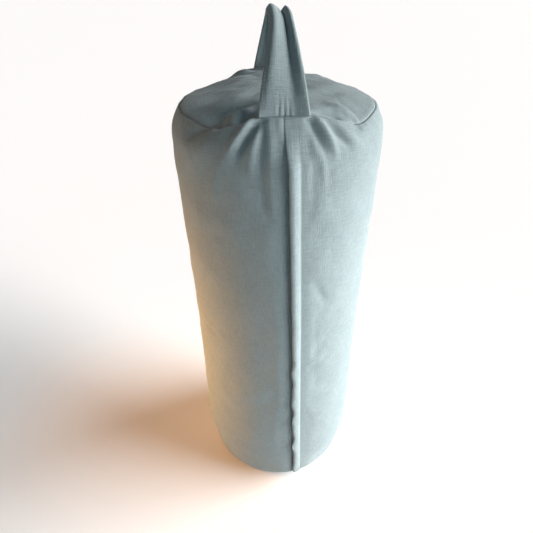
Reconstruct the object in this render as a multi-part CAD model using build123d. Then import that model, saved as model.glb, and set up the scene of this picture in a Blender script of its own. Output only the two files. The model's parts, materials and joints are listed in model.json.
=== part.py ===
"""Cylindrical bolster pillow with a removable cloth cover, standing on its end with its carrying strap up.

Millimetres, +Z up along the pillow's length. The origin is the centre of the flat circle that the pillow
stands on, and the zip side faces -Y. A woven cover (a tube panel and two end discs, seamed at the rims) holds
an inner cushion (a cotton casing round a loose filling). A coil zip runs down the front of the cover under a
stitched flap, and a folded cloth strap crosses the top end from the front rim to the back rim.

Every layer is a body of revolution drawn at an inset from the cover's outside, so the layers nest exactly.
The zip's pieces are drawn in the zip's own frame: u across the zip to the right, n outward from the cloth,
and z up along the zip, which leans a little because a filled cover twists.
"""

import os
from math import asin, atan2, cos, degrees, hypot, radians, sin

from build123d import *

os.makedirs("parts", exist_ok=True)

# ---- Driving dimensions ----
BODY_R = 110.0  # outside radius of the filled cover
RIM_R = 100.0  # radius of the seams between the tube panel and the end discs
RIM_LOW_Z = 8.0  # height of the bottom rim seam
RIM_TOP_Z = 550.0  # height of the top rim seam
SHOULDER_R = 40.0  # radius of the cloth's turn from the tube to a rim seam
CROWN = 18.0  # how far the top end bulges above its rim seam
FOOT_R = 78.0  # radius of the flat circle that it stands on

# ---- Cloth layers, as insets from the cover's outside ----
CLOTH = 1.0
CASING_OUT, CASING_IN = 4.0, 4.6
FILLING_IN = 4.8
SEAM_THREAD_R = 0.35
THREAD_GAP = 0.05  # air left between a thread and the cloth beside it

# ---- Zip line on the tube ----
ZIP_AZ_TOP, ZIP_AZ_LOW = 2.8, 11.0  # degrees round from the front at the two ends of the zip
SLOT_LOW_Z, SLOT_TOP_Z = 36.0, 522.0
SLOT_LEFT, SLOT_RIGHT = -2.7, 8.0  # the gap in the tube panel, in u
TAPE_OUT, TAPE_IN = 1.1, 1.7  # insets of the two faces of the zip tape
TAPE_GAP = 1.2  # between the two tapes
TAPE_W = 13.0
COIL_W, COIL_H = 1.8, 1.9
COIL_GAP = 0.8  # between the two coils, which the slider's post runs in
COIL_LIFT = -1.0  # n of the underside of the coils

# ---- Flap over the zip: an arch between two arcs of one centre ----
FLAP_U, FLAP_N = 0.9, -3.3
FLAP_OUT_R, FLAP_IN_R = 9.5, 8.1
FLAP_EDGE_U, FLAP_ROOT_U = -5.4, 9.0  # the free fold and the stitched side, on the outer arc
FLAP_LOW_Z, FLAP_TOP_Z = 54.0, 512.0  # ends of the part of the flap that lifts
FLAP_END_GAP = 0.5
FLAP_STITCH_U = 2.0  # from the line that the flap turns about to its row of stitches
FLAP_LOW_TURN, FLAP_TOP_TURN = 40.0, 22.0  # degrees that the sewn ends follow the shoulders

# ---- Zip slider and pull tab ----
SLIDER_Z = 84.0  # with the zip closed
SLIDER_L, SLIDER_W = 9.0, 7.8
TOP_PLATE = (1.15, 2.3)  # n of its two faces
LOW_PLATE = (-3.7, -2.7)
POST_W, POST_L = 0.6, 2.6
BRIDGE_W, BRIDGE_T, BRIDGE_SPAN = 2.2, 0.6, 6.0
BRIDGE_TOP = 4.2
TAB_W, TAB_T, TAB_L = 6.0, 0.9, 22.0
TAB_PIN_R = 0.5
TAB_PIVOT_N = 2.95
TAB_ARM_W = 1.5
TAB_WINDOW_L = 5.0
TAB_HOLE_R = 1.4
STOP_L, STOP_H = 2.4, 2.6

# ---- Carrying strap ----
STRAP_W, STRAP_T = 44.0, 2.4  # flat, where it is sewn in at the rim
GRIP_W, GRIP_T = 22.0, 8.0  # gathered lengthwise, where it is held
STRAP_TOP_Z = 632.0  # height of the strap's middle line at its crest
STRAP_TOP_HALF = 42.0  # half of the crest's straight run, before its ends are rounded
STRAP_BEND_R = 45.0
LEG_TOP_Z = 598.0  # where each leg meets the grip
STRAP_BASE_GAP = 0.1
TACK_W, TACK_H = 36.0, 0.6  # the row of stitches across the foot of each leg

# ---- Worked out ----
SHOULDER_H = (SHOULDER_R**2 - (SHOULDER_R - BODY_R + RIM_R) ** 2) ** 0.5
SHOULDER_LOW_Z = RIM_LOW_Z + SHOULDER_H
SHOULDER_TOP_Z = RIM_TOP_Z - SHOULDER_H
CROWN_R = (RIM_R**2 + CROWN**2) / (2 * CROWN)
CROWN_Z = RIM_TOP_Z + CROWN - CROWN_R
FOOT_TURN_R = ((RIM_R - FOOT_R) ** 2 + RIM_LOW_Z**2) / (2 * RIM_LOW_Z)
ZIP_MID_Z = (SLOT_LOW_Z + SLOT_TOP_Z) / 2
ZIP_AZ = (ZIP_AZ_TOP + ZIP_AZ_LOW) / 2
ZIP_SPREAD = 2 * BODY_R * sin(radians((ZIP_AZ_LOW - ZIP_AZ_TOP) / 2))
ZIP_LEAN = degrees(asin(ZIP_SPREAD / (SLOT_TOP_Z - SLOT_LOW_Z)))
ZIP_FRAME = (
    Location((0, 0, ZIP_MID_Z))
    * Rotation(0, 0, ZIP_AZ)
    * Location((0, -BODY_R, 0))
    * Rotation(0, -ZIP_LEAN, 0)
)


# ---- Layers of revolution ----
def outline(inset):
    """The four corners and the arcs' middles of the outline at this inset, as (radius, height)."""
    crown_r, shoulder_r, foot_r = CROWN_R - inset, SHOULDER_R - inset, FOOT_TURN_R - inset
    shoulder_x = BODY_R - SHOULDER_R
    rim_top = max(crossings((0, CROWN_Z), crown_r, (shoulder_x, SHOULDER_TOP_Z), shoulder_r))
    rims_low = crossings((FOOT_R, FOOT_TURN_R), foot_r, (shoulder_x, SHOULDER_LOW_Z), shoulder_r)
    rim_low = min(rims_low, key=lambda point: point[1])
    return {
        "axis_top": (0, CROWN_Z + crown_r),
        "crown_mid": on_arc((0, CROWN_Z), crown_r, (0, CROWN_Z + crown_r), rim_top),
        "rim_top": rim_top,
        "top_mid": on_arc((shoulder_x, SHOULDER_TOP_Z), shoulder_r, rim_top, (BODY_R, SHOULDER_TOP_Z)),
        "tube_top": (BODY_R - inset, SHOULDER_TOP_Z),
        "tube_low": (BODY_R - inset, SHOULDER_LOW_Z),
        "low_mid": on_arc((shoulder_x, SHOULDER_LOW_Z), shoulder_r, (BODY_R, SHOULDER_LOW_Z), rim_low),
        "rim_low": rim_low,
        "foot_mid": on_arc((FOOT_R, FOOT_TURN_R), foot_r, rim_low, (FOOT_R, 0)),
        "foot": (FOOT_R, inset),
        "axis_low": (0, inset),
    }


def crossings(centre_a, radius_a, centre_b, radius_b):
    """The two points where two circles cross."""
    dx, dz = centre_b[0] - centre_a[0], centre_b[1] - centre_a[1]
    apart = hypot(dx, dz)
    along = (radius_a**2 - radius_b**2 + apart**2) / (2 * apart)
    aside = (radius_a**2 - along**2) ** 0.5
    foot = (centre_a[0] + along * dx / apart, centre_a[1] + along * dz / apart)
    return [(foot[0] + s * aside * dz / apart, foot[1] - s * aside * dx / apart) for s in (1, -1)]


def on_arc(centre, radius, a, b):
    """The middle of the arc from a to b about centre."""
    start = atan2(a[1] - centre[1], a[0] - centre[0])
    end = atan2(b[1] - centre[1], b[0] - centre[0])
    middle = (start + end) / 2
    return centre[0] + radius * cos(middle), centre[1] + radius * sin(middle)


def spun(edges):
    """The solid that a closed outline of (radius, height) edges sweeps round the pillow's axis."""
    return revolve(make_face(edges), Axis.Z)


def arc(a, middle, b):
    return ThreePointArc(to_3d(a), to_3d(middle), to_3d(b))


def line(a, b):
    return Line(to_3d(a), to_3d(b))


def to_3d(point):
    return point[0], 0, point[1]


def envelope(inset):
    """The whole pillow at this inset, as one solid."""
    o = outline(inset)
    return spun(
        [
            line(o["axis_low"], o["foot"]),
            arc(o["foot"], o["foot_mid"], o["rim_low"]),
            arc(o["rim_low"], o["low_mid"], o["tube_low"]),
            line(o["tube_low"], o["tube_top"]),
            arc(o["tube_top"], o["top_mid"], o["rim_top"]),
            arc(o["rim_top"], o["crown_mid"], o["axis_top"]),
            line(o["axis_top"], o["axis_low"]),
        ]
    )


def tube_panel(outer, inner):
    """The tube of cloth between two insets, from rim seam to rim seam."""
    a, b = outline(outer), outline(inner)
    return spun(
        [
            arc(a["rim_low"], a["low_mid"], a["tube_low"]),
            line(a["tube_low"], a["tube_top"]),
            arc(a["tube_top"], a["top_mid"], a["rim_top"]),
            line(a["rim_top"], b["rim_top"]),
            arc(b["rim_top"], b["top_mid"], b["tube_top"]),
            line(b["tube_top"], b["tube_low"]),
            arc(b["tube_low"], b["low_mid"], b["rim_low"]),
            line(b["rim_low"], a["rim_low"]),
        ]
    )


def top_disc(outer, inner):
    a, b = outline(outer), outline(inner)
    return spun(
        [
            arc(a["axis_top"], a["crown_mid"], a["rim_top"]),
            line(a["rim_top"], b["rim_top"]),
            arc(b["rim_top"], b["crown_mid"], b["axis_top"]),
            line(b["axis_top"], a["axis_top"]),
        ]
    )


def bottom_disc(outer, inner):
    a, b = outline(outer), outline(inner)
    return spun(
        [
            line(a["axis_low"], a["foot"]),
            arc(a["foot"], a["foot_mid"], a["rim_low"]),
            line(a["rim_low"], b["rim_low"]),
            arc(b["rim_low"], b["foot_mid"], b["foot"]),
            line(b["foot"], b["axis_low"]),
            line(b["axis_low"], a["axis_low"]),
        ]
    )


def rim_thread(side):
    """The thread of a rim seam, in the angle inside the cover. side is 1 at the top, -1 at the bottom."""
    corner = outline(CLOTH)["rim_top" if side > 0 else "rim_low"]
    clear = SEAM_THREAD_R + THREAD_GAP
    ring = Plane.XZ * Pos(corner[0] - 3 * clear, corner[1] - side * 2.2 * clear) * Circle(SEAM_THREAD_R)
    return revolve(ring, Axis.Z)


# ---- Zip ----
def level(z):
    """A height of the pillow in the zip's frame."""
    return z - ZIP_MID_Z


def block(u, n, z):
    """A box in the zip's frame, between the two values of each of u, n and z."""
    size = (u[1] - u[0], n[1] - n[0], z[1] - z[0])
    middle = ((u[0] + u[1]) / 2, -(n[0] + n[1]) / 2, (z[0] + z[1]) / 2)
    return Location(middle) * Box(*size)


def slot():
    """The gap in the tube panel that the zip closes, in the zip's frame."""
    return block((SLOT_LEFT, SLOT_RIGHT), (-9, 9), (level(SLOT_LOW_Z), level(SLOT_TOP_Z)))


def on_tube(u, z, outer, inner):
    """What a strip of the zip's frame cuts out of the tube's cloth layer between two insets."""
    strip = block(u, (-9, 9), (level(z[0]), level(z[1])))
    ring = Cylinder(BODY_R - outer, RIM_TOP_Z) - Cylinder(BODY_R - inner, RIM_TOP_Z)
    return (ZIP_FRAME * strip) & (Pos(0, 0, RIM_TOP_Z / 2) * ring)


def zip_tape(side):
    """One strip of tape against the inside of the tube panel. side is -1 for the left tape."""
    near, far = side * TAPE_GAP / 2, side * (TAPE_GAP / 2 + TAPE_W)
    return on_tube(sorted((near, far)), (SLOT_LOW_Z - 1, SLOT_TOP_Z + 1), TAPE_OUT, TAPE_IN)


def zip_coil(side):
    """One bar of interlocked coils, with a rounded top."""
    near = side * COIL_GAP / 2
    bar = block(
        sorted((near, near + side * COIL_W)),
        (COIL_LIFT, COIL_LIFT + COIL_H),
        (level(SLOT_LOW_Z) + 8, level(SLOT_TOP_Z) - 8),
    )
    top = bar.edges().filter_by(Axis.Z).group_by(Axis.Y)[0]
    return ZIP_FRAME * fillet(top, 0.6)


def zip_slider():
    """Two plates joined by a post between the coils, with a bridge on top for the pull tab."""
    half_w, half_l, z = SLIDER_W / 2, SLIDER_L / 2, level(SLIDER_Z)
    span = (z - half_l, z + half_l)
    plates = [block((-half_w, half_w), n, span) for n in (TOP_PLATE, LOW_PLATE)]
    for i, plate in enumerate(plates):
        corners = plate.edges().filter_by(Axis.Y)
        plates[i] = fillet(corners, 1.6)
    post = block((-POST_W / 2, POST_W / 2), (LOW_PLATE[0], TOP_PLATE[1]), (z + half_l - POST_L, z + half_l))
    feet = [
        block(
            (-BRIDGE_W / 2, BRIDGE_W / 2),
            (TOP_PLATE[1], BRIDGE_TOP),
            (z + s * BRIDGE_SPAN / 2 - BRIDGE_T, z + s * BRIDGE_SPAN / 2 + BRIDGE_T),
        )
        for s in (-1, 1)
    ]
    beam = block(
        (-BRIDGE_W / 2, BRIDGE_W / 2),
        (BRIDGE_TOP - BRIDGE_T, BRIDGE_TOP),
        (z - BRIDGE_SPAN / 2 - BRIDGE_T, z + BRIDGE_SPAN / 2 + BRIDGE_T),
    )
    slider = plates[0] + plates[1] + post + feet[0] + feet[1] + beam
    return ZIP_FRAME * slider


def pull_tab():
    """A flat tab hanging from a pin under the slider's bridge, with a window round the bridge."""
    z = level(SLIDER_Z)
    n = (TAB_PIVOT_N - TAB_T / 2, TAB_PIVOT_N + TAB_T / 2)
    plate = block((-TAB_W / 2, TAB_W / 2), n, (z - TAB_L, z))
    plate = fillet(plate.edges().filter_by(Axis.Y).group_by(Axis.Z)[0], TAB_W / 2 - 0.2)
    inner = TAB_W / 2 - TAB_ARM_W
    window = block((-inner, inner), (n[0] - 1, n[1] + 1), (z - TAB_WINDOW_L, z + 1))
    hole = Location((0, -TAB_PIVOT_N, z - TAB_L + 4)) * Rotation(90, 0, 0) * Cylinder(TAB_HOLE_R, 4)
    pin = Location((0, -TAB_PIVOT_N, z)) * Rotation(0, 90, 0) * Cylinder(TAB_PIN_R, TAB_W)
    return ZIP_FRAME * (plate - window - hole + pin)


def zip_stop(z, side=0):
    """A crimped stop over the coils: over one coil if side is -1 or 1, or across both."""
    inner = COIL_GAP / 2 + 0.05
    outer = COIL_GAP / 2 + COIL_W
    u = sorted((side * inner, side * outer)) if side else (-outer, outer)
    top = COIL_LIFT + COIL_H
    return ZIP_FRAME * block(u, (top, top + STOP_H - COIL_H), (level(z), level(z) + STOP_L))


# ---- Flap ----
def flap_arc(radius):
    """The two ends and the middle of one of the flap's arcs, as (u, -n), in the order end, middle, end."""
    reach = [asin((u - FLAP_U) / FLAP_OUT_R) for u in (FLAP_EDGE_U, FLAP_ROOT_U)]
    angles = (reach[0], sum(reach) / 2, reach[1])
    return [(FLAP_U + radius * sin(a), -(FLAP_N + radius * cos(a))) for a in angles]


def flap_section():
    """The flap's cross-section in the zip's frame: an arch, round where it turns over its stitched side."""
    outer, inner = flap_arc(FLAP_OUT_R), flap_arc(FLAP_IN_R)
    half = (FLAP_OUT_R - FLAP_IN_R) / 2
    turn = asin((FLAP_ROOT_U - FLAP_U) / FLAP_OUT_R)
    middle_r = FLAP_IN_R + half
    tip = (
        FLAP_U + middle_r * sin(turn) + half * cos(turn),
        -(FLAP_N + middle_r * cos(turn) - half * sin(turn)),
    )
    edges = [
        ThreePointArc(*outer),
        ThreePointArc(outer[2], tip, inner[2]),
        ThreePointArc(*reversed(inner)),
        Line(inner[0], outer[0]),
    ]
    return make_face(edges)


def flap_root():
    """The line that the flap turns about, as (u, n)."""
    outer, inner = flap_arc(FLAP_OUT_R), flap_arc(FLAP_IN_R)
    return (outer[2][0] + inner[2][0]) / 2, -(outer[2][1] + inner[2][1]) / 2


def zip_flap():
    section = Pos(0, 0, level(FLAP_LOW_Z)) * flap_section()
    return ZIP_FRAME * extrude(section, FLAP_TOP_Z - FLAP_LOW_Z)


def flap_end(side):
    """A sewn-down end of the flap, following the shoulder round. side is 1 at the top, -1 at the bottom."""
    start = level(FLAP_TOP_Z + FLAP_END_GAP if side > 0 else FLAP_LOW_Z - FLAP_END_GAP)
    turn_z = level(SHOULDER_TOP_Z if side > 0 else SHOULDER_LOW_Z)
    turn = FLAP_TOP_TURN if side > 0 else FLAP_LOW_TURN
    section = Pos(0, 0, turn_z) * flap_section()
    straight = extrude(section, start - turn_z)
    turned = revolve(section, Axis((0, SHOULDER_R, turn_z), (-side, 0, 0)), turn)
    return ZIP_FRAME * (straight + turned) - envelope(-0.3)


def flap_stitching():
    """The row of stitches beside the flap's stitched side, as one thread on the cloth."""
    u = flap_root()[0] + FLAP_STITCH_U
    width = 2 * SEAM_THREAD_R
    return on_tube((u, u + width), (SHOULDER_LOW_Z, SHOULDER_TOP_Z), -THREAD_GAP - width, -THREAD_GAP)


def bar_tack():
    """The dense cross stitches that end the flap at the top, lying on the shoulder."""
    centre = Location((FLAP_U, SHOULDER_R, level(SHOULDER_TOP_Z)))
    out = SHOULDER_R + TACK_H / 2 + THREAD_GAP + 0.3
    place = centre * Rotation(-(FLAP_TOP_TURN + 3), 0, 0) * Location((0, -out, 0))
    return ZIP_FRAME * place * Box(FLAP_ROOT_U - FLAP_EDGE_U - 3, TACK_H, 2.0)


# ---- Strap ----
def strap_leg_line():
    """The foot of the front leg's middle line and the corner where the crest's run begins, in (y, z)."""
    return (-RIM_R, RIM_TOP_Z - 2), (-STRAP_TOP_HALF, STRAP_TOP_Z)


def strap_point(z):
    foot, corner = strap_leg_line()
    share = (z - foot[1]) / (corner[1] - foot[1])
    return foot[0] + share * (corner[0] - foot[0]), z


def strap_plane(z):
    """The plane across the front leg at this height, with its x across the strap."""
    foot, corner = strap_leg_line()
    y, _ = strap_point(z)
    return Plane(origin=(0, y, z), x_dir=(1, 0, 0), z_dir=(0, corner[0] - foot[0], corner[1] - foot[1]))


def strap_leg(back=False):
    """One leg, from its flat end in the rim seam to the gathered grip, cut to the cover's shape."""
    foot, _ = strap_leg_line()
    wide = strap_plane(foot[1]) * Rectangle(STRAP_W, STRAP_T)
    narrow = strap_plane(LEG_TOP_Z) * Rectangle(GRIP_W, GRIP_T)
    leg = loft([wide, narrow]) - envelope(-STRAP_BASE_GAP)
    leg = max(leg.solids(), key=lambda solid: solid.center().Z)
    return leg.rotate(Axis.Z, 180) if back else leg


def strap_grip():
    """The gathered middle of the strap, over the crest from leg to leg."""
    start = strap_point(LEG_TOP_Z)
    _, corner = strap_leg_line()
    points = [start, corner, (-corner[0], corner[1]), (-start[0], start[1])]
    path = FilletPolyline(*[(0, y, z) for y, z in points], radius=STRAP_BEND_R)
    section = strap_plane(LEG_TOP_Z) * Rectangle(GRIP_W, GRIP_T)
    return sweep(section, path)


def strap_tack(back=False):
    """The row of stitches across the foot of a leg, on its outer face."""
    z = RIM_TOP_Z + 9
    plane = strap_plane(z)
    out = STRAP_T / 2 + TACK_H + 1.0
    row = plane * Location((0, out if plane.y_dir.Y < 0 else -out, 0)) * Box(TACK_W, TACK_H, 0.8)
    return row.rotate(Axis.Z, 180) if back else row


def closing_stitches():
    """The hand-sewn line that closes the casing's filling gap, on the back of the casing."""
    out = BODY_R - CASING_OUT + SEAM_THREAD_R + THREAD_GAP
    return Pos(0, out, RIM_TOP_Z / 2) * Cylinder(SEAM_THREAD_R, 160)


def zip_point(u, n, z):
    """A point of the zip's frame in the pillow's frame."""
    return (ZIP_FRAME * Location((u, -n, level(z)))).position


PARTS = {
    "cover_tube_panel": tube_panel(0, CLOTH) - ZIP_FRAME * slot(),
    "cover_top_disc": top_disc(0, CLOTH),
    "cover_bottom_disc": bottom_disc(0, CLOTH),
    "rim_thread_top": rim_thread(1),
    "rim_thread_bottom": rim_thread(-1),
    "inner_casing_tube": tube_panel(CASING_OUT, CASING_IN),
    "inner_casing_top_disc": top_disc(CASING_OUT, CASING_IN),
    "inner_casing_bottom_disc": bottom_disc(CASING_OUT, CASING_IN),
    "inner_casing_closing_stitches": closing_stitches(),
    "filling": envelope(FILLING_IN),
    "zip_tape_left": zip_tape(-1),
    "zip_tape_right": zip_tape(1),
    "zip_coil_left": zip_coil(-1),
    "zip_coil_right": zip_coil(1),
    "zip_stop_upper": zip_stop(SLOT_TOP_Z - 14),
    "zip_stops_lower": Compound(children=[zip_stop(SLIDER_Z - 12, s) for s in (-1, 1)]),
    "zip_slider": zip_slider(),
    "zip_pull_tab": pull_tab(),
    "zip_flap": zip_flap(),
    "flap_end_top": flap_end(1),
    "flap_end_bottom": flap_end(-1),
    "flap_stitching": flap_stitching(),
    "flap_bar_tack": bar_tack(),
    "strap_leg_front": strap_leg(),
    "strap_leg_back": strap_leg(back=True),
    "strap_grip": strap_grip(),
    "strap_tack_front": strap_tack(),
    "strap_tack_back": strap_tack(back=True),
}

for name, shape in PARTS.items():
    export_step(shape, f"parts/{name}.step")

hinge_u, hinge_n = flap_root()
up = (ZIP_FRAME * Location((0, 0, 1))).position - ZIP_FRAME.position
across = (ZIP_FRAME * Location((1, 0, 0))).position - ZIP_FRAME.position
print("zip direction", tuple(round(v, 6) for v in up))
print("zip cross direction", tuple(round(v, 6) for v in across))
print("flap hinge point", tuple(round(v, 3) for v in zip_point(hinge_u, hinge_n, ZIP_MID_Z)))
print("pull tab pivot", tuple(round(v, 3) for v in zip_point(0, TAB_PIVOT_N, SLIDER_Z)))
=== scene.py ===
"""The looks of a bolster pillow: a linen cover over a cushion, a zip under a stitched flap, and a strap.

Metres, in the model's own frame: +Z up along the pillow, with the zip side towards -Y. The cover is one
skin, read by an angle (0 at the front, turning towards +X) and by the distance along its meridian from the
middle of the top end. The skin is simulated once, and every piece of cloth is drawn on it.
"""

import json
from math import acos, atan2, cos, pi, radians, sin, tau

import bpy
import numpy as np
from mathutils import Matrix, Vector


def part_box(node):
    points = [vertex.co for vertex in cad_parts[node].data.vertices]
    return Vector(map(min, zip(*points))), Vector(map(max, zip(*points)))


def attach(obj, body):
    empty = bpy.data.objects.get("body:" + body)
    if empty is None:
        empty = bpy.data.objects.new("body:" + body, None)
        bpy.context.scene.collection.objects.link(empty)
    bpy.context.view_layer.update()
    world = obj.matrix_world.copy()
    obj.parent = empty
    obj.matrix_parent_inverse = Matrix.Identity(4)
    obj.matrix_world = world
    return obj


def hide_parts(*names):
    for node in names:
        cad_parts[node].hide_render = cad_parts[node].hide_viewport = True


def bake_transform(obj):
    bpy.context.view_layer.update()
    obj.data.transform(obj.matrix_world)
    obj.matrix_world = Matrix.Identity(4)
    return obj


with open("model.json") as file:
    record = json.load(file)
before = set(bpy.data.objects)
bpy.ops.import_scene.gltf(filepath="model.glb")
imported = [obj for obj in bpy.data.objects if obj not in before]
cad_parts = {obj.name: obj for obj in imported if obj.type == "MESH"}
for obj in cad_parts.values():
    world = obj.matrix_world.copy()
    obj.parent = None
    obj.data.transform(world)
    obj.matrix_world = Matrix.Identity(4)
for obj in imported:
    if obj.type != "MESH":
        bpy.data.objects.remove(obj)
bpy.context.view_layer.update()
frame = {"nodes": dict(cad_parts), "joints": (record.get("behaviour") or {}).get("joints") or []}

# ---- Sizes read from the model ----
tube_low, tube_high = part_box("cover_tube_panel")
top_low, top_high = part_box("cover_top_disc")
grip_low, grip_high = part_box("strap_grip")
leg_low, leg_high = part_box("strap_leg_front")
tape_low, tape_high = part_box("zip_tape_left")
coil_low, coil_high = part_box("zip_coil_left")
flap_low, flap_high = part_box("zip_flap")
flap_end_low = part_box("flap_end_bottom")[0]
joints = {joint["name"]: joint for joint in frame["joints"]}

BODY_R = tube_high.x
RIM_R = (top_high.x - top_low.x) / 2
RIM_TOP, RIM_LOW = tube_high.z, tube_low.z
CROWN = top_high.z - RIM_TOP
STRAP_W = leg_high.x - leg_low.x

# ---- The cover's outline ----
SHOULDER_R = 0.040
FOOT_R = 0.078
FOOT_TUCK = 0.0045
FOOT_TUCK_TOP, FOOT_TUCK_DEPTH = 0.075, 0.050
LIP = 0.0021
COVER_THICK, CASING_THICK, FILLING_THICK = 0.0010, 0.0006, 0.004
CASING_INSET, FILLING_INSET = 0.0040, 0.0075
ZIP_SLOT = (-0.0027, 0.0066)
SEAM_DIP, SEAM_DIP_HALF = 0.0007, 0.0010

# ---- The simulated skin ----
COLUMNS = 150
ROW_STEP = 0.0052
PRESSURE = 4.0
FRAMES = 22
MOST_MOVE = 0.012

# ---- The strap's pull on the rim ----
# The share of the pull at each angle from the strap's middle, in degrees, to its left and to its right.
LIFT_UP, LIFT_IN = 0.0130, 0.0060
PULL_LEFT = [(0, 0.97), (8, 0.98), (13, 1.0), (18, 0.72), (24, 0.44), (33, 0.17), (44, 0.0), (60, 0.0)]
PULL_RIGHT = [
    (0, 0.97), (8, 0.98), (13, 1.0), (18, 0.86), (24, 0.67), (31, 0.38), (40, 0.06), (48, -0.12), (66, 0.0),
]
LIFT_HALF = 0.023
LIFT_REACH = 0.055

# ---- Colours, linear ----
LINEN_LIGHT = (0.322, 0.406, 0.425)
LINEN_DARK = (0.192, 0.259, 0.281)
THREAD_COLOUR = (0.33, 0.43, 0.44)
COTTON_LIGHT, COTTON_DARK = (0.74, 0.71, 0.64), (0.62, 0.59, 0.51)
FILL_LIGHT, FILL_DARK = (0.70, 0.64, 0.52), (0.55, 0.48, 0.36)
TAPE_LIGHT, TAPE_DARK = (0.40, 0.50, 0.49), (0.28, 0.37, 0.37)
NYLON = (0.44, 0.54, 0.53)
METAL, BARE_METAL = (0.40, 0.48, 0.47), (0.62, 0.62, 0.60)
SLUB_RANGE = 0.13


# ---- Camera and light ----
def add_camera():
    """The photographer's eye: above the top end and a little to the left, looking down the front."""
    turn, down, away, above = radians(3.5), radians(35.9), 0.469, 0.128
    data = bpy.data.cameras.new("camera")
    data.sensor_width = 36
    data.lens = 29.718574
    data.shift_x = -0.0204
    data.clip_start = 0.01
    camera = bpy.data.objects.new("camera", data)
    camera.location = (-away * sin(turn), -away * cos(turn), RIM_TOP + above)
    camera.rotation_euler = (radians(90) - down, 0, -turn)
    bpy.context.scene.collection.objects.link(camera)
    bpy.context.scene.camera = camera


def add_light(name, kind, place, target, size, power, colour, spread=180):
    """A soft light at a place, pointed at another. A sun's size is its angle in degrees."""
    data = bpy.data.lights.new(name, kind)
    if kind == "SUN":
        data.angle = radians(size)
    else:
        data.size = size
        data.spread = radians(spread)
    data.energy = power
    data.color = colour
    light = bpy.data.objects.new(name, data)
    light.location = place
    light.rotation_euler = (Vector(target) - Vector(place)).to_track_quat("-Z", "Y").to_euler()
    light.visible_camera = False
    bpy.context.scene.collection.objects.link(light)


def add_studio():
    """A broad low window on the right, a warm lamp low on the left, and weak light from front and back."""
    middle, white = (0, 0, 0.3), (1.0, 1.0, 1.0)
    add_light("window_right", "SUN", (2.4, -0.16, 0.92), middle, 54, 11.3, (1.0, 0.955, 0.930))
    add_light("warm_left", "AREA", (-0.86, 0.10, 0.36), (0, 0, 0.20), 0.3, 1.25, (1.0, 0.44, 0.12), 46)
    add_light("front", "SUN", (-0.3, -2.4, 0.6), middle, 90, 0.36, (0.50, 0.84, 1.0))
    add_light("back", "SUN", (-0.8, 2.8, 1.1), middle, 80, 0.6, white)
    world = bpy.data.worlds.new("studio")
    world.use_nodes = True
    nodes, links = world.node_tree.nodes, world.node_tree.links
    ambient, backdrop = nodes["Background"], nodes.new("ShaderNodeBackground")
    ambient.inputs["Color"].default_value = (0.82, 0.92, 1.0, 1)
    backdrop.inputs["Color"].default_value = (*white, 1)
    ambient.inputs["Strength"].default_value = 0.05
    backdrop.inputs["Strength"].default_value = 1.0
    mix = nodes.new("ShaderNodeMixShader")
    links.new(nodes.new("ShaderNodeLightPath").outputs["Is Camera Ray"], mix.inputs[0])
    links.new(ambient.outputs[0], mix.inputs[1])
    links.new(backdrop.outputs[0], mix.inputs[2])
    links.new(mix.outputs[0], nodes["World Output"].inputs["Surface"])
    bpy.context.scene.world = world
    bpy.context.scene.view_settings.view_transform = "Standard"


def add_floor():
    """A pale floor, and round it a far floor that only the camera sees, so that no light comes off it."""
    material = bpy.data.materials.new("floor")
    material.use_nodes = True
    shader = material.node_tree.nodes["Principled BSDF"]
    shader.inputs["Base Color"].default_value = (0.93, 0.93, 0.93, 1)
    shader.inputs["Roughness"].default_value = 0.9
    for name, half, drop in (("floor", 1.6, 0.0), ("far_floor", 60.0, 0.0004)):
        corners = [(-half, -half, -drop), (half, -half, -drop), (half, half, -drop), (-half, half, -drop)]
        mesh = bpy.data.meshes.new(name)
        mesh.from_pydata(corners, [], [(0, 1, 2, 3)])
        mesh.materials.append(material)
        floor = bpy.data.objects.new(name, mesh)
        floor.visible_diffuse = floor.visible_glossy = name == "floor"
        bpy.context.scene.collection.objects.link(floor)


def add_flag():
    """A card between the window and the top end, out of the camera's sight, which keeps glare off the top."""
    near, far, half, height = 0.26, 0.51, 0.23, 0.75
    corners = [(near, -half, height), (far, -half, height), (far, half, height), (near, half, height)]
    mesh = bpy.data.meshes.new("flag")
    mesh.from_pydata(corners, [], [(0, 1, 2, 3)])
    flag = bpy.data.objects.new("flag", mesh)
    flag.visible_camera = flag.visible_diffuse = flag.visible_glossy = False
    bpy.context.scene.collection.objects.link(flag)


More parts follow.
